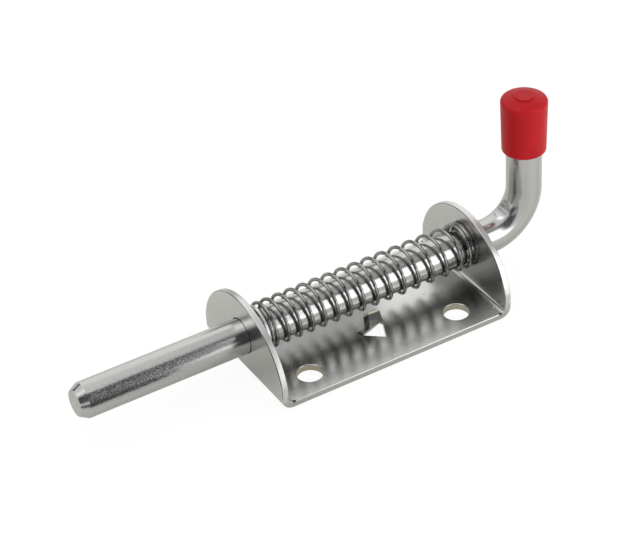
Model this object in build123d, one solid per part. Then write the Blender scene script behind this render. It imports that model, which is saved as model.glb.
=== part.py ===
# Spring bolt: a bent round rod that slides and turns in a folded bracket, pushed forward by a coil spring.
# Millimetres. X runs along the rod from tip (-X) to handle (+X), Z goes up from the plate's underside.
import os
from math import cos, pi, sin

from build123d import *

# Folded sheet bracket
sheet = 3.0
bracket_length = 116.2
bracket_width = 66.0
lug_height = 37.4
lug_shoulder = 11.0
shoulder_round = 6.0
bend_radius = 2.2
edge_round = 0.45

# Screw holes in the plate
hole_diameter = 11.5
hole_spacing_x = 75.0
hole_spacing_y = 41.0
hole_edge_round = 0.4

# Tab lanced from the plate and folded up beside the spring
tab_x = 1.6
tab_y = -9.0
tab_turn = 20.0
tab_fold_length = 13.2
tab_bend_radius = 0.6
tab_relief = 0.4
tab_height = 12.6
tab_top_left = -3.0
tab_top_right = 4.6
tab_top_drop = 2.0
tab_side = -2.0
tab_corner_round = 2.4
tab_clearance = 0.4
tab_point_shift = -1.8
tab_point_reach = 9.0

# Round rod, bent up into a handle
rod_diameter = 16.0
axis_height = 19.2
tip_reach = 79.4
tip_chamfer_length = 3.9
tip_chamfer_depth = 2.1
tip_edge_round = 0.7
handle_setback = 30.0
handle_bend_radius = 20.0
handle_height = 62.6
handle_end_chamfer = 1.0
bend_mark_radius = 6.0
bend_mark_depth = 0.8
bore_clearance = 0.4

# Slotted spring pin and the washer behind it
pin_diameter = 4.0
pin_wall = 0.8
pin_slot = 0.9
pin_length = 21.0
pin_clearance = 0.02
pin_end_chamfer = 0.3
stop_gap = 0.15
washer_thickness = 1.5
washer_diameter = 22.0
washer_clearance = 0.25
washer_edge_chamfer = 0.2
seat_gap = 0.05

# Coil spring
wire_diameter = 1.6
spring_diameter = 21.6
spring_rise = 1.1
spring_turns = 17.2
end_turns_front = 0.86
end_turns_rear = 1.1
turn_in = 0.7
end_pitch_ratio = 1.04
pitch_growth = 0.43
start_angle = 5.0
points_per_turn = 12

# Plastic cap on the handle
cap_wall = 1.85
cap_roof = 1.9
cap_length = 25.2
cap_flare = 0.55
cap_dome = 2.0
cap_shoulder_round = 1.5
cap_button_diameter = 9.0
cap_button_rise = 0.35
cap_button_round = 0.3
cap_lip_round = 0.5
cap_clearance = 0.04

# Places worked out from the sizes above
front_face = -bracket_length / 2
rear_face = bracket_length / 2
front_inner = front_face + sheet
rear_inner = rear_face - sheet
rod_radius = rod_diameter / 2
tip_x = front_face - tip_reach
handle_x = rear_face + handle_setback
handle_top = axis_height + handle_height
pin_x = front_inner + stop_gap + pin_diameter / 2
washer_front = pin_x + pin_diameter / 2 + seat_gap
washer_rear = washer_front + washer_thickness
spring_front = washer_rear + seat_gap
spring_rear = rear_inner - seat_gap


def along_x(x, z=axis_height):
    """Plane square to the rod, with its own x along Y and its own y along Z."""
    return Plane(origin=(x, 0, z), x_dir=(0, 1, 0), z_dir=(1, 0, 0))


def folded_section(length, height, inside_radius):
    """U of sheet thickness in X and Z, standing on its back, with both folds rounded."""
    outside = Pos(0, height / 2) * Rectangle(length, height)
    outside = fillet(outside.vertices().group_by(Axis.Y)[0], inside_radius + sheet)
    inside = Pos(0, height / 2 + sheet) * Rectangle(length - 2 * sheet, height)
    inside = fillet(inside.vertices().group_by(Axis.Y)[0], inside_radius)
    return outside - inside


def lug_outline():
    """Outline of the folded sheet seen along the rod: straight sides that run into a round top."""
    half = bracket_width / 2
    sides = Polyline((-half, lug_shoulder), (-half, 0), (half, 0), (half, lug_shoulder))
    top = ThreePointArc((half, lug_shoulder), (0, lug_height), (-half, lug_shoulder))
    face = make_face([sides, top])
    return fillet(face.vertices().group_by(Axis.Y)[-1], shoulder_round)


def round_outline(bracket):
    """Break the edges that run round both faces of the sheet."""
    outline = bracket.edges().filter_by(Axis.Y, reverse=True)
    outline = outline.filter_by(lambda edge: abs(edge.length - sheet) > edge_round)
    return fillet(outline, edge_round)


def tab_frame():
    """Frame of the tab: x along its fold, y towards the spring, z up."""
    return Plane(origin=(tab_x, tab_y, 0), x_dir=(cos(tab_turn * pi / 180), sin(tab_turn * pi / 180), 0))


def tab_opening():
    """Hole that the tab leaves: a pointed corner in front of the fold."""
    half = tab_fold_length / 2 + tab_relief
    back = tab_bend_radius + sheet
    point = (tab_point_shift, -tab_point_reach)
    outline = Polyline((-half, back), (-half, 0), point, (half, 0), (half, back), close=True)
    return extrude(tab_frame() * make_face(outline), amount=sheet)


def tab():
    """Part of the corner, folded upright, with its top hollowed so that the washer passes."""
    half = tab_fold_length / 2
    outer_radius = tab_bend_radius + sheet
    foot = outer_radius + sheet
    outside = Pos(foot / 2, tab_height / 2) * Rectangle(foot, tab_height)
    outside = fillet(outside.vertices().sort_by_distance((0, 0))[0], outer_radius)
    inside = Pos(foot / 2 + sheet, tab_height / 2 + sheet) * Rectangle(foot, tab_height)
    inside = fillet(inside.vertices().sort_by_distance((0, 0))[0], tab_bend_radius)
    frame = tab_frame()
    across = Plane(origin=frame.origin, x_dir=frame.y_dir, z_dir=frame.x_dir)
    folded = extrude(across * (outside - inside), amount=half, both=True)
    corner = (tab_top_right, tab_height - tab_top_drop)
    outline = make_face(Polyline(
        (-half, 0), (half, 0), (half, outer_radius), corner,
        (tab_top_left, tab_height), (tab_side, outer_radius), (-half, outer_radius), close=True,
    ))
    outline = fillet(outline.vertices().sort_by_distance(corner)[0], tab_corner_round)
    upright = Plane(origin=frame.origin, x_dir=frame.x_dir, z_dir=-frame.y_dir)
    shape = folded & extrude(upright * outline, amount=foot, both=True)
    washer_path = Circle(washer_diameter / 2 + tab_clearance)
    return shape - extrude(along_x(front_inner) * washer_path, amount=rear_inner - front_inner)


def base_bracket():
    """Plate with two upright lugs, bored for the rod, with screw holes and the lanced tab."""
    section = folded_section(bracket_length, lug_height, bend_radius)
    body = extrude(Plane.XZ * section, amount=bracket_width / 2, both=True)
    body &= extrude(along_x(front_face, 0) * lug_outline(), amount=bracket_length)
    body = round_outline(body)
    holes = GridLocations(hole_spacing_x, hole_spacing_y, 2, 2)
    body -= [place * Cylinder(hole_diameter / 2, 2 * sheet) for place in holes]
    plate_top = body.faces().filter_by(Plane.XY).sort_by_distance((0, 0, sheet))[0]
    body = fillet(plate_top.inner_wires().edges(), hole_edge_round)
    body -= extrude(along_x(front_face) * Circle(rod_radius + bore_clearance), amount=bracket_length)
    return body - tab_opening() + tab()


def bolt_rod():
    """Round rod with a chamfered tip, bent up into a handle and cross-drilled for the stop pin."""
    shank_x = tip_x + tip_chamfer_length
    path = FilletPolyline(
        (shank_x, 0, axis_height), (handle_x, 0, axis_height), (handle_x, 0, handle_top),
        radius=handle_bend_radius,
    )
    rod = sweep(along_x(shank_x) * Circle(rod_radius), path=path)
    rod = chamfer(rod.edges().group_by(Axis.Z)[-1], handle_end_chamfer)
    tip = loft([
        along_x(tip_x) * Circle(rod_radius - tip_chamfer_depth),
        along_x(shank_x) * Circle(rod_radius),
    ])
    tip = fillet(tip.edges().group_by(Axis.X)[0], tip_edge_round)
    former_gap = handle_bend_radius - rod_radius - bend_mark_radius + bend_mark_depth
    former_shift = former_gap * cos(pi / 4)
    former = Plane(
        origin=(
            handle_x - handle_bend_radius + former_shift, 0,
            axis_height + handle_bend_radius - former_shift,
        ),
        z_dir=(0, 1, 0),
    ) * Circle(bend_mark_radius)
    rod = rod + tip - extrude(former, amount=rod_radius, both=True)
    pin_hole = Pos(pin_x, 0, axis_height) * Cylinder(pin_diameter / 2 + pin_clearance, 2 * rod_diameter)
    return rod - pin_hole


def stop_pin():
    """Rolled spring pin, slit along its length, standing across the rod."""
    outer = Circle(pin_diameter / 2)
    ring = outer - Circle(pin_diameter / 2 - pin_wall)
    ring -= Pos(0, pin_diameter / 2) * Rectangle(pin_slot, pin_diameter)
    tube = extrude(Plane.XY * ring, amount=pin_length / 2, both=True)
    ends = Cylinder(pin_diameter / 2, pin_length)
    tube &= chamfer(ends.edges().filter_by(GeomType.CIRCLE), pin_end_chamfer)
    return Pos(pin_x, 0, axis_height) * tube


def thrust_washer():
    """Flat ring that takes the spring's push to the stop pin."""
    ring = Circle(washer_diameter / 2) - Circle(rod_radius + washer_clearance)
    washer = extrude(along_x(washer_front) * ring, amount=washer_thickness)
    return chamfer(washer.edges().filter_by(GeomType.CIRCLE), washer_edge_chamfer)


def spring_advance():
    """Distance along the rod at each point of the wire, from closed end turns to open turns."""
    steps = round(spring_turns * points_per_turn)
    travel = spring_rear - spring_front - wire_diameter
    end_pitch = wire_diameter * end_pitch_ratio

    def openness(turn):
        from_front = (turn - end_turns_front) / turn_in
        from_rear = (spring_turns - turn - end_turns_rear) / turn_in
        rise = min(max(min(from_front, from_rear), 0), 1)
        return rise * rise * (3 - 2 * rise)

    middles = [(step + 0.5) * spring_turns / steps for step in range(steps)]
    share = spring_turns / steps
    open_sum = sum(openness(turn) * (1 + pitch_growth * turn / spring_turns) for turn in middles) * share
    closed_sum = sum(1 - openness(turn) for turn in middles) * share * end_pitch
    open_pitch = (travel - closed_sum) / open_sum
    places = [spring_front + wire_diameter / 2]
    for turn in middles:
        opened = openness(turn)
        pitch = (1 - opened) * end_pitch + opened * open_pitch * (1 + pitch_growth * turn / spring_turns)
        places.append(places[-1] + pitch * share)
    return places


def compression_spring():
    """Round wire coiled right-handed round the rod, with closed ends."""
    coil_radius = (spring_diameter - wire_diameter) / 2
    places = spring_advance()
    points = []
    for step, x in enumerate(places):
        angle = (start_angle + 360 * spring_turns * step / (len(places) - 1)) * pi / 180
        points.append((x, -coil_radius * sin(angle), axis_height + spring_rise + coil_radius * cos(angle)))
    path = Spline(*points)
    section = Plane(origin=path @ 0, z_dir=path % 0) * Circle(wire_diameter / 2)
    return sweep(section, path=path, is_frenet=True)


def handle_cap():
    """Soft cap with a domed roof, slightly wider at the top, closed round the end of the handle."""
    bore = rod_radius + cap_clearance
    lip = bore + cap_wall
    roof_bottom = handle_top + cap_clearance
    roof_top = roof_bottom + cap_roof
    low = roof_top - cap_length
    crown = lip + cap_flare
    profile = Polyline(
        (0, roof_bottom), (bore, roof_bottom), (bore, low), (lip, low), (crown, roof_top),
    )
    dome_top = roof_top + cap_dome
    dome = ThreePointArc((crown, roof_top), (crown / 2, roof_top + 0.75 * cap_dome), (0, dome_top))
    close_line = Line((0, dome_top), (0, roof_bottom))
    face = make_face([profile, dome, close_line])
    cap = revolve(Plane.XZ * face, axis=Axis.Z)
    rings = cap.edges().filter_by(GeomType.CIRCLE)
    shoulder = rings.filter_by(lambda edge: abs(edge.radius - crown) < cap_clearance)
    cap = fillet(shoulder, cap_shoulder_round)
    lip_edge = cap.edges().filter_by(GeomType.CIRCLE).group_by(Axis.Z)[0].sort_by(SortBy.RADIUS)[-1]
    cap = fillet(lip_edge, cap_lip_round)
    button_middle = dome_top + cap_button_rise - cap_dome / 2
    button = Pos(0, 0, button_middle) * Cylinder(cap_button_diameter / 2, cap_dome)
    button = fillet(button.edges().group_by(Axis.Z)[-1], cap_button_round)
    return Pos(handle_x, 0, 0) * (cap + button)


pieces = {
    "base_bracket": base_bracket,
    "bolt_rod": bolt_rod,
    "stop_pin": stop_pin,
    "thrust_washer": thrust_washer,
    "compression_spring": compression_spring,
    "handle_cap": handle_cap,
}

os.makedirs("parts", exist_ok=True)
for node, build in pieces.items():
    export_step(build(), f"parts/{node}.step")
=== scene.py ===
from math import cos, radians, sin

import bpy
import numpy as np
from mathutils import Matrix, Vector


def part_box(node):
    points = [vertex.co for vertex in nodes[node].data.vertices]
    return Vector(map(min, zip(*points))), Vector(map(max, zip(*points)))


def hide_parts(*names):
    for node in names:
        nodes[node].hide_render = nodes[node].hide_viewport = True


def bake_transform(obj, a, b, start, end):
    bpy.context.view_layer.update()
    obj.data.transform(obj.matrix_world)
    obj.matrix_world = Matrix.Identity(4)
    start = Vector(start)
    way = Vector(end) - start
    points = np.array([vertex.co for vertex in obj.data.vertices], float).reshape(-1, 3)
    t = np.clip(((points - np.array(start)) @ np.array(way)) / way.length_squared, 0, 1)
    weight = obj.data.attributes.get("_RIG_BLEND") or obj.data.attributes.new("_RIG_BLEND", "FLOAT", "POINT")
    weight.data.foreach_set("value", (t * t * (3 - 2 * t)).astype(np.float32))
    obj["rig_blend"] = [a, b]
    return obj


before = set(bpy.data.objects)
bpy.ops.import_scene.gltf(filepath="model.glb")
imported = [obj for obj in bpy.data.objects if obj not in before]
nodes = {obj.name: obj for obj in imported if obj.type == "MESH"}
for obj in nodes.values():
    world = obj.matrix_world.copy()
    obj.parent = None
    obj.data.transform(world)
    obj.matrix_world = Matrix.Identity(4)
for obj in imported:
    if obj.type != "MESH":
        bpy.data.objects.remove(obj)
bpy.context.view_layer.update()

# Sizes in metres, read from model.glb where it holds them
mm = 0.001
rod_low, rod_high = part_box("bolt_rod")
rod_radius = rod_high.y
axis_height = rod_low.z + rod_radius
handle_x = rod_high.x - rod_radius
handle_bend_radius = 20.0 * mm
spring_low, spring_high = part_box("compression_spring")
washer_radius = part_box("thrust_washer")[1].y

# Bracket, as in the solid model
sheet_thickness = 3.0 * mm
hole_radius = 5.75 * mm
hole_spacing_x = 75.0 * mm
hole_spacing_y = 41.0 * mm

# Foot of the lugs, and reach of the tab from the middle
lug_foot = 6.0 * mm
tab_reach = 20.0 * mm

# Near end of a fold's inside, on the plate
fold_end = Vector((52.6, 33.0, 3.2)) * mm

# Grain on the rod, by distance along it from the start of the bend
grain_start = -202.0 * mm
grain_whole = -200.0 * mm
grain_fades = -185.0 * mm
grain_faint = -122.0 * mm

# Coil spring, as in the solid model
wire_diameter = 1.6 * mm
spring_diameter = 21.6 * mm
spring_rise = 1.1 * mm
spring_turns = 17.2
end_turns_front = 0.86
end_turns_rear = 1.1
turn_in = 0.7
end_pitch_ratio = 1.04
pitch_growth = 0.43
start_angle = 5.0
rings_per_turn = 64
ring_points = 18

# Photograph's view
camera_azimuth = -29.218
camera_elevation = 36.325
camera_roll = -3.45
camera_distance = 1.03381
camera_aim = Vector((-11.28, 16.50, 24.10)) * mm
image_width = 630
focal_pixels = 2370.0
sensor_width = 36.0

# Point that most lamps and cards face
part_middle = (0.0, 0.0, 0.02)


class Graph:
    """Shader nodes of one material or world, added and linked in short calls."""

    def __init__(self, owner):
        owner.use_nodes = True
        self.owner = owner
        self.tree = owner.node_tree
        self.shader = self.tree.nodes.get("Principled BSDF")

    def set(self, socket, value):
        if isinstance(value, bpy.types.NodeSocket):
            self.tree.links.new(value, socket)
        else:
            socket.default_value = value

    def node(self, kind, inputs, **settings):
        made = self.tree.nodes.new(kind)
        for key, value in settings.items():
            setattr(made, key, value)
        for socket, value in inputs.items():
            self.set(made.inputs[socket], value)
        return made

    def place(self):
        return self.node("ShaderNodeTexCoord", {}).outputs["Object"]

    def facing(self):
        return self.node("ShaderNodeTexCoord", {}).outputs["Normal"]

    def math(self, operation, *values):
        return self.node("ShaderNodeMath", dict(enumerate(values)), operation=operation).outputs[0]

    def plus(self, first, second):
        return self.math("ADD", first, second)

    def minus(self, first, second):
        return self.math("SUBTRACT", first, second)

    def times(self, *values):
        product = values[0]
        for value in values[1:]:
            product = self.math("MULTIPLY", product, value)
        return product

    def size(self, value):
        return self.math("ABSOLUTE", value)

    def reach(self, first, second):
        """Distance made by two offsets at right angles."""
        return self.math("SQRT", self.plus(self.math("POWER", first, 2.0), self.math("POWER", second, 2.0)))

    def split(self, vector):
        parts = self.node("ShaderNodeSeparateXYZ", {0: vector}).outputs
        return parts[0], parts[1], parts[2]

    def join(self, x, y, z):
        return self.node("ShaderNodeCombineXYZ", {0: x, 1: y, 2: z}).outputs[0]

    def vectors(self, operation, inputs):
        return self.node("ShaderNodeVectorMath", inputs, operation=operation).outputs

    def stretch(self, vector, scale):
        return self.vectors("MULTIPLY", {0: vector, 1: scale})[0]

    def noise(self, vector, scale, detail=2.0, roughness=0.5):
        inputs = {"Vector": vector, "Scale": scale, "Detail": detail, "Roughness": roughness}
        return self.node("ShaderNodeTexNoise", inputs).outputs["Fac"]

    def voronoi(self, vector, scale, dimensions):
        inputs = {"Vector": vector, "Scale": scale, "Randomness": 1.0}
        return self.node("ShaderNodeTexVoronoi", inputs, feature="F1", voronoi_dimensions=dimensions).outputs

    def cells(self, vector, scale, dimensions="3D"):
        """Distance from the middle of each cell, and the cell's own chance from 0 to 1."""
        made = self.voronoi(vector, scale, dimensions)
        return made["Distance"], self.split(made["Color"])[0]

    def remap(self, value, low, high, to_low=0.0, to_high=1.0):
        inputs = {"Value": value, "From Min": low, "From Max": high, "To Min": to_low, "To Max": to_high}
        return self.node("ShaderNodeMapRange", inputs).outputs["Result"]

    def mix(self, factor, first, second):
        made = self.node("ShaderNodeMix", {"Factor": factor}, data_type="RGBA")
        self.set(made.inputs[6], first)
        self.set(made.inputs[7], second)
        return made.outputs[2]

    def bump(self, height, depth, strength=1.0, normal=None):
        inputs = {"Height": height, "Distance": depth, "Strength": strength}
        if normal is not None:
            inputs["Normal"] = normal
        return self.node("ShaderNodeBump", inputs).outputs["Normal"]

    def spangle(self, vector, scale, tilt):
        """Normal that leans a little in its own way on each grain."""
        grains = self.voronoi(vector, scale, "3D")["Color"]
        lean = self.vectors("SUBTRACT", {0: grains, 1: (0.5, 0.5, 0.5)})[0]
        lean = self.vectors("SCALE", {0: lean, "Scale": tilt})[0]
        facing = self.node("ShaderNodeNewGeometry", {}).outputs["Normal"]
        leaning = self.vectors("ADD", {0: facing, 1: lean})[0]
        return self.vectors("NORMALIZE", {0: leaning})[0]

    def finish(self, **sockets):
        for name, value in sockets.items():
            self.set(self.shader.inputs[name.replace("_", " ").title()], value)
        return self.owner


def new_material(name):
    return Graph(bpy.data.materials.new(name))


def grey(value, tint=(1.0, 1.0, 1.0)):
    return tuple(value * part for part in tint) + (1.0,)


def hole_distance(graph, x, y):
    """Distance from the middle line of the nearest screw hole."""
    along = graph.minus(graph.size(x), hole_spacing_x / 2)
    across = graph.minus(graph.size(y), hole_spacing_y / 2)
    return graph.reach(along, across)


def zinc_sheet():
    """Bright zinc on rolled sheet: soft clouds, faint rolling lines, small nicks, marked edges, and painted
    shade and highlights at some edges and fold ends.
    """
    graph = new_material("zinc_sheet")
    place = graph.place()
    x, y, z = graph.split(place)
    facing_x, facing_y, facing_z = graph.split(graph.facing())
    clouds = graph.noise(place, 70.0, 4.0, 0.6)
    lines = graph.noise(graph.stretch(place, (30.0, 900.0, 900.0)), 1.0, 3.0)
    grain = graph.noise(place, 2600.0, 2.0)

    # Nicks on faces that look up
    distance, chance = graph.cells(place, 150.0, "2D")
    chosen = graph.math("GREATER_THAN", chance, 0.84)
    upward = graph.math("GREATER_THAN", facing_z, 0.9)
    nick = graph.times(graph.remap(distance, 0.075, 0.04), chosen, upward)

    # Yellowed walls of the screw holes
    in_hole = graph.remap(hole_distance(graph, x, y), hole_radius + 0.2 * mm, hole_radius + 0.05 * mm)
    upright = graph.remap(graph.size(facing_z), 0.7, 0.4)
    hole_wall = graph.times(in_hole, upright)

    # Sheared rims of the lugs, and a painted dark reflection along their rounded edges on the tip's side
    on_lug = graph.remap(z, lug_foot, lug_foot + 1.0 * mm)
    rim = graph.times(on_lug, graph.remap(graph.size(facing_x), 0.25, 0.1))
    edge_dark_reflection = graph.times(graph.remap(facing_x, -0.35, -0.55), graph.remap(facing_x, -0.97, -0.85))
    edge_dark_reflection = graph.times(on_lug, edge_dark_reflection)
    shear = graph.noise(graph.stretch(place, (1500.0, 260.0, 260.0)), 1.0, 3.0, 0.7)

    # Painted cream highlight on the tab's top edge, hollowed round the washer's path, where the metal is
    # also made non-metallic
    on_tab = graph.times(on_lug, graph.math("LESS_THAN", graph.size(x), tab_reach))
    from_axis = graph.reach(y, graph.minus(z, axis_height))
    tab_edge_highlight = graph.remap(from_axis, washer_radius + 1.6 * mm, washer_radius + 1.2 * mm)
    tab_edge_highlight = graph.times(on_tab, tab_edge_highlight)

    # Duller cut edges along the plate's sides
    sideways = graph.remap(graph.size(facing_y), 0.9, 0.97)
    cut_edge = graph.times(sideways, graph.remap(z, sheet_thickness + 2.0 * mm, sheet_thickness))

    # Painted shade where the folds end at the plate's edges, standing in for the shaded relief corners there
    fold_x = graph.minus(graph.size(x), fold_end.x)
    fold_y = graph.minus(graph.size(y), fold_end.y)
    from_fold = graph.join(fold_x, fold_y, graph.minus(z, fold_end.z))
    relief_shade = graph.remap(graph.vectors("LENGTH", {0: from_fold})["Value"], 1.2 * mm, 0.8 * mm)

    dull_zinc = grey(0.56, (1.0, 0.997, 0.965))
    bright_zinc = grey(0.62, (1.0, 0.998, 0.975))
    cut_zinc = grey(0.46, (1.0, 0.995, 0.95))
    yellowed = (0.52, 0.49, 0.38, 1.0)
    highlight_cream = (0.66, 0.63, 0.50, 1.0)
    colour = graph.mix(graph.remap(clouds, 0.3, 0.7), dull_zinc, bright_zinc)
    colour = graph.mix(graph.times(nick, 0.6), colour, grey(0.85))
    colour = graph.mix(graph.times(cut_edge, 0.9), colour, cut_zinc)
    colour = graph.mix(graph.times(hole_wall, 0.9), colour, yellowed)
    colour = graph.mix(graph.times(rim, graph.remap(shear, 0.3, 0.7, 0.25, 0.9)), colour, grey(0.72))
    # painted dark reflection along the lugs' rounded edges
    colour = graph.mix(graph.times(edge_dark_reflection, 0.8), colour, grey(0.10))
    # painted highlight on the tab's top edge
    colour = graph.mix(tab_edge_highlight, colour, highlight_cream)
    # painted shade at the ends of the folds
    colour = graph.mix(graph.times(relief_shade, 0.9), colour, grey(0.03))

    rough = graph.plus(graph.remap(clouds, 0.3, 0.7, 0.19, 0.24), graph.remap(lines, 0.3, 0.7, 0.0, 0.03))
    rough = graph.plus(rough, graph.times(graph.math("MAXIMUM", rim, hole_wall), 0.12))
    rough = graph.plus(rough, graph.times(nick, 0.4))
    height = graph.plus(graph.times(grain, 0.3), graph.times(lines, 0.2))
    height = graph.minus(height, graph.times(nick, 4.0))
    height = graph.plus(height, graph.times(rim, shear, 5.0))
    normal = graph.bump(height, 0.006 * mm)
    return graph.finish(
        base_color=colour, metallic=graph.minus(1.0, tab_edge_highlight), roughness=rough, normal=normal,
    )


def rod_coordinates(graph):
    """Distance along the bent rod from the start of the bend, and the two offsets from its middle line."""
    x, y, z = graph.split(graph.place())
    past = graph.minus(x, handle_x - handle_bend_radius)
    under = graph.minus(axis_height + handle_bend_radius, z)
    bend_x = graph.math("MAXIMUM", past, 0.0)
    bend_z = graph.math("MAXIMUM", under, 0.0)
    rise = graph.minus(handle_bend_radius, graph.reach(bend_x, bend_z))
    turned = graph.times(graph.math("ARCTAN2", bend_x, bend_z), handle_bend_radius)
    straight = graph.minus(graph.math("MINIMUM", past, 0.0), graph.math("MINIMUM", under, 0.0))
    return graph.plus(straight, turned), y, rise


def zinc_rod():
    """Zinc on drawn rod: fine lines along its length, and a grain that is strongest near the tip."""
    graph = new_material("zinc_rod")
    along, across, rise = rod_coordinates(graph)
    drawn = graph.join(along, across, rise)
    streaks = graph.noise(graph.stretch(drawn, (12.0, 800.0, 800.0)), 1.0, 3.0)
    broad = graph.noise(graph.stretch(drawn, (6.0, 260.0, 260.0)), 1.0, 2.0)
    speckle = graph.noise(graph.stretch(drawn, (1500.0, 2200.0, 2200.0)), 1.0, 3.0, 0.7)
    distance, chance = graph.cells(drawn, 160.0)
    nick = graph.times(graph.remap(distance, 0.08, 0.03), graph.math("GREATER_THAN", chance, 0.85))
    grained = graph.remap(along, grain_fades, grain_faint, 1.0, 0.12)
    grained = graph.times(grained, graph.remap(along, grain_start, grain_whole))

    zinc_tint = (1.0, 1.0, 0.985)
    colour = graph.mix(graph.remap(broad, 0.35, 0.65), grey(0.48, zinc_tint), grey(0.54, zinc_tint))
    colour = graph.mix(graph.remap(speckle, 0.58, 0.72, 0.0, 0.25), colour, grey(0.40, (0.96, 0.98, 1.0)))
    colour = graph.mix(graph.remap(streaks, 0.60, 0.70, 0.0, 0.3), colour, grey(0.32))
    matt = graph.remap(graph.cells(drawn, 2100.0)[1], 0.45, 0.9, 0.0, 0.12)
    rough = graph.plus(graph.remap(broad, 0.35, 0.65, 0.14, 0.20), graph.remap(speckle, 0.4, 0.6, 0.0, 0.06))
    rough = graph.plus(rough, graph.times(grained, matt))
    height = graph.plus(graph.times(speckle, 1.5), graph.times(streaks, 0.9))
    height = graph.minus(height, graph.times(nick, 3.0))
    leaning = graph.spangle(drawn, 2400.0, graph.times(grained, 0.045))
    normal = graph.bump(height, 0.008 * mm, normal=leaning)
    return graph.finish(base_color=colour, metallic=1.0, roughness=rough, normal=normal)


def spring_steel():
    """Drawn spring wire: darker than the zinc, smooth, with faint mottling."""
    graph = new_material("spring_steel")
    place = graph.place()
    mottle = graph.noise(place, 420.0, 3.0, 0.6)
    grain = graph.noise(place, 3000.0, 2.0)
    dark_wire = grey(0.26, (1.0, 0.985, 0.95))
    light_wire = grey(0.34, (1.0, 0.99, 0.97))
    colour = graph.mix(graph.remap(mottle, 0.3, 0.7), dark_wire, light_wire)
    rough = graph.remap(mottle, 0.3, 0.7, 0.13, 0.2)
    normal = graph.bump(grain, 0.003 * mm)
    return graph.finish(base_color=colour, metallic=1.0, roughness=rough, normal=normal)


def red_plastic():
    """Soft moulded cap: satin red with faint clouds and a fine skin."""
    graph = new_material("red_plastic")
    place = graph.place()
    clouds = graph.noise(place, 160.0, 3.0, 0.6)
    skin = graph.noise(place, 1800.0, 3.0)
    deep_red = (0.42, 0.008, 0.012, 1.0)
    light_red = (0.49, 0.010, 0.016, 1.0)
    colour = graph.mix(graph.remap(clouds, 0.3, 0.7), deep_red, light_red)
    rough = graph.remap(clouds, 0.3, 0.7, 0.34, 0.46)
    graph.shader.inputs["Specular IOR Level"].default_value = 0.14
    return graph.finish(base_color=colour, roughness=rough, normal=graph.bump(skin, 0.02 * mm, 0.5))


def coil_places():
    """Distance along the rod at each ring of the wire, and the share of the open turns passed there."""
    steps = round(spring_turns * rings_per_turn)
    share = spring_turns / steps
    middles = (np.arange(steps) + 0.5) * share
    from_front = (middles - end_turns_front) / turn_in
    from_rear = (spring_turns - middles - end_turns_rear) / turn_in
    rise = np.clip(np.minimum(from_front, from_rear), 0, 1)
    opened = rise * rise * (3 - 2 * rise)
    closed_step = (1 - opened) * share * wire_diameter * end_pitch_ratio
    open_step = opened * share * (1 + pitch_growth * middles / spring_turns)
    travel = spring_high.x - spring_low.x - wire_diameter
    open_step *= (travel - closed_step.sum()) / open_step.sum()
    first = spring_low.x + wire_diameter / 2
    places = first + np.concatenate([[0], np.cumsum(closed_step + open_step)])
    passed = np.concatenate([[0], np.cumsum(open_step)]) / open_step.sum()
    return places, passed


def wire_rings(places):
    """Points round the wire at each of its places along the rod."""
    coil_radius = (spring_diameter - wire_diameter) / 2
    angles = np.radians(start_angle + 360 * spring_turns * np.linspace(0, 1, len(places)))
    outward = np.stack([0 * angles, -np.sin(angles), np.cos(angles)], 1)
    axis = np.stack([places, 0 * places, 0 * places + axis_height + spring_rise], 1)
    middle = outward * coil_radius + axis
    ahead = np.gradient(middle, axis=0)
    ahead /= np.linalg.norm(ahead, axis=1)[:, None]
    side = np.cross(ahead, outward)
    side /= np.linalg.norm(side, axis=1)[:, None]
    round_angles = np.radians(360 * np.arange(ring_points) / ring_points)
    return (
        middle[:, None]
        + np.cos(round_angles)[None, :, None] * outward[:, None] * wire_diameter / 2
        + np.sin(round_angles)[None, :, None] * side[:, None] * wire_diameter / 2
    )


def ring_faces(count):
    """Faces between neighbouring rings, with a flat face over each end of the wire."""
    faces = [tuple(reversed(range(ring_points)))]
    for ring in range(count - 1):
        start = ring * ring_points
        for point in range(ring_points):
            beside = (point + 1) % ring_points
            faces.append((
                start + point, start + beside,
                start + ring_points + beside, start + ring_points + point,
            ))
    faces.append(tuple(range((count - 1) * ring_points, count * ring_points)))
    return faces


def coil_spring():
    """Round wire wound round the rod. Each ring of the wire keeps its shape while the turns close up."""
    places, passed = coil_places()
    faces = ring_faces(len(places))
    mesh = bpy.data.meshes.new("coil_spring")
    mesh.from_pydata(wire_rings(places).reshape(-1, 3).tolist(), [], faces)
    mesh.polygons.foreach_set("use_smooth", [len(face) == 4 for face in faces])
    mesh.update()
    spring = bpy.data.objects.new("coil_spring", mesh)
    bpy.context.scene.collection.objects.link(spring)
    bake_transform(spring, "base", "washer", start=(spring_high.x, 0, 0), end=(spring_low.x, 0, 0))
    follow = np.repeat(1 - passed, ring_points).astype(np.float32)
    mesh.attributes["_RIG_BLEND"].data.foreach_set("value", follow)
    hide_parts("compression_spring")
    return spring


def paint(piece, material):
    piece.data.materials.clear()
    piece.data.materials.append(material)


def seen_share(graph, direct, mirrored):
    """Share of its own white that the background shows: direct, in reflections, and 0 as light on things."""
    path = graph.node("ShaderNodeLightPath", {}).outputs
    seen = graph.times(path["Is Camera Ray"], direct)
    reflected = graph.times(path["Is Glossy Ray"], mirrored)
    through = graph.times(path["Is Transmission Ray"], direct)
    return graph.math("MAXIMUM", graph.math("MAXIMUM", seen, reflected), through)


def white_world():
    """White studio: a little weaker as light on things than as it is seen."""
    world = bpy.data.worlds.new("studio")
    bpy.context.scene.world = world
    graph = Graph(world)
    background = graph.tree.nodes["Background"]
    background.inputs["Color"].default_value = (1.0, 1.0, 1.0, 1.0)
    level = graph.remap(seen_share(graph, 1.0, 1.0), 0.0, 1.0, 0.75, 1.0)
    graph.set(background.inputs["Strength"], level)


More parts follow.
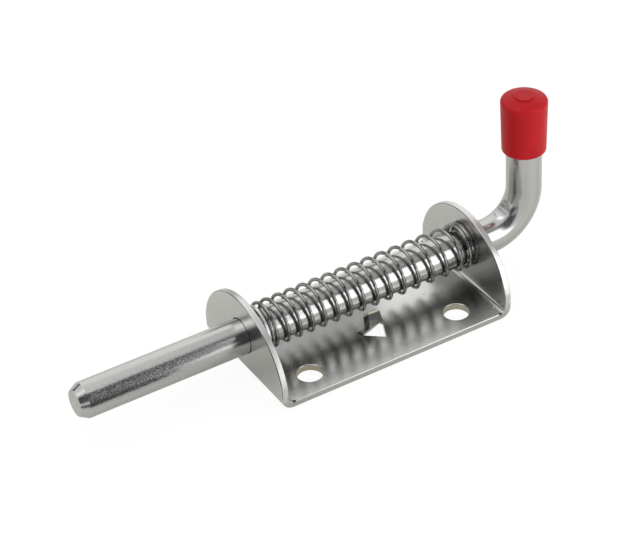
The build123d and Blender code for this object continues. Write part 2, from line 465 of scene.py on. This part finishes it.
def card(name, corners, material):
    """Flat sheet of the studio with the given corners."""
    mesh = bpy.data.meshes.new(name)
    mesh.from_pydata(corners, [], [(0, 1, 2, 3)])
    mesh.materials.append(material)
    made = bpy.data.objects.new(name, mesh)
    bpy.context.scene.collection.objects.link(made)
    return made


def panel(name, material, width, height, middle, towards=part_middle):
    """Oblong sheet of the studio, facing a point."""
    corners = [(-width, -height, 0), (width, -height, 0), (width, height, 0), (-width, height, 0)]
    made = card(name, [tuple(part / 2 for part in edge_dark_reflection) for edge_dark_reflection in corners], material)
    turn = (Vector(towards) - Vector(middle)).to_track_quat("Z", "Y").to_matrix().to_4x4()
    made.matrix_world = Matrix.Translation(middle) @ turn
    return made


def floor():
    """White table: mostly its own white to the camera, with the shadow from its lit share."""
    graph = new_material("floor")
    graph.tree.nodes.remove(graph.shader)
    lit = graph.node("ShaderNodeBsdfDiffuse", {"Color": (0.80, 0.79, 0.745, 1.0)}).outputs[0]
    white = graph.node("ShaderNodeEmission", {"Strength": 1.05}).outputs[0]
    mixed = graph.node("ShaderNodeMixShader", {0: seen_share(graph, 0.88, 0.15), 1: lit, 2: white})
    graph.set(graph.tree.nodes["Material Output"].inputs["Surface"], mixed.outputs[0])
    panel("floor", graph.owner, width=6.0, height=6.0, middle=(0, 0, -0.2 * mm), towards=(0, 0, 1))


def card_finish(name, colour):
    """Even colour that shows the same under any light."""
    graph = new_material(name)
    graph.shader.inputs["Specular IOR Level"].default_value = 0.0
    return graph.finish(
        base_color=(0.0, 0.0, 0.0, 1.0), roughness=1.0, emission_color=colour, emission_strength=1.0,
    )


def dark_cards():
    """Dark and grey sides of the studio, seen only in the metal."""
    dark = card_finish("dark_card", (0.07, 0.073, 0.08, 1.0))
    dim = card_finish("grey_card", (0.50, 0.50, 0.48, 1.0))
    deep = card_finish("deep_grey_card", (0.4, 0.4, 0.4, 1.0))
    rod_tip = (-0.137, 0.0, 0.02)
    ramp = [(-0.22, -0.056, 0.001), (-0.08, -0.056, 0.001), (0.05, -0.36, 0.14), (-0.1, -0.36, 0.14)]
    ceiling = [(0.30, -0.6, 1.0), (1.1, -0.6, 1.0), (1.1, 0.42, 1.0), (0.30, 0.42, 1.0)]
    screen = [(-0.05, 0.06, 0.034), (0.045, 0.06, 0.034), (0.045, 0.06, 0.068), (-0.05, 0.06, 0.068)]
    cards = [
        panel("dark_front", dark, width=3.2, height=1.5, middle=(0.2, -1.2, 1.05)),
        panel("dark_left", dark, width=0.24, height=0.24, middle=(-0.30, -0.19, 0.19), towards=rod_tip),
        panel("dark_right", dark, width=0.7, height=0.8, middle=(0.95, -0.36, 0.75)),
        panel("dark_back_left", dark, width=0.55, height=0.6, middle=(-0.28, 1.07, 0.6)),
        card("dark_below", ramp, dark),
        card("grey_top", ceiling, dim),
        card("grey_behind", screen, deep),
    ]
    for made in cards:
        made.visible_camera = False
        made.visible_diffuse = False
        made.visible_shadow = False
        made.visible_transmission = False


def softbox(name, width, height, power, place, aim=part_middle):
    """Oblong lamp of so many watts, aimed at a point."""
    lamp = bpy.data.lights.new(name, "AREA")
    lamp.shape = "RECTANGLE"
    lamp.size = width
    lamp.size_y = height
    lamp.energy = power
    holder = bpy.data.objects.new(name, lamp)
    bpy.context.scene.collection.objects.link(holder)
    holder.location = place
    holder.rotation_euler = (Vector(aim) - Vector(place)).to_track_quat("-Z", "Y").to_euler()


def photo_camera():
    azimuth = radians(camera_azimuth)
    elevation = radians(camera_elevation)
    back = Vector((sin(azimuth) * cos(elevation), -cos(azimuth) * cos(elevation), sin(elevation)))
    lens = bpy.data.cameras.new("camera")
    lens.sensor_fit = "HORIZONTAL"
    lens.sensor_width = sensor_width
    lens.lens = focal_pixels / image_width * sensor_width
    lens.clip_start = 0.05
    camera = bpy.data.objects.new("camera", lens)
    bpy.context.scene.collection.objects.link(camera)
    turn = back.to_track_quat("Z", "Y").to_matrix().to_4x4()
    roll = Matrix.Rotation(radians(camera_roll), 4, "Z")
    camera.matrix_world = Matrix.Translation(camera_aim + back * camera_distance) @ turn @ roll
    bpy.context.scene.camera = camera


sheet_finish = zinc_sheet()
wire_finish = spring_steel()
paint(nodes["base_bracket"], sheet_finish)
paint(nodes["thrust_washer"], sheet_finish)
paint(nodes["bolt_rod"], zinc_rod())
paint(nodes["stop_pin"], wire_finish)
paint(nodes["compression_spring"], wire_finish)
paint(nodes["handle_cap"], red_plastic())
paint(coil_spring(), wire_finish)

white_world()
floor()
dark_cards()
softbox("overhead", width=0.8, height=0.7, power=1.9, place=(-0.5, 0.25, 1.3))
softbox("back", width=1.2, height=1.2, power=0.9, place=(0.59, 1.05, 0.89))
front_place = (0.322, -0.41, 0.21)
front_aim = (0.322, 0.0, 0.02)
softbox("front_right", width=0.38, height=0.45, power=1.2, place=front_place, aim=front_aim)
photo_camera()
bpy.context.scene.view_settings.view_transform = "Standard"
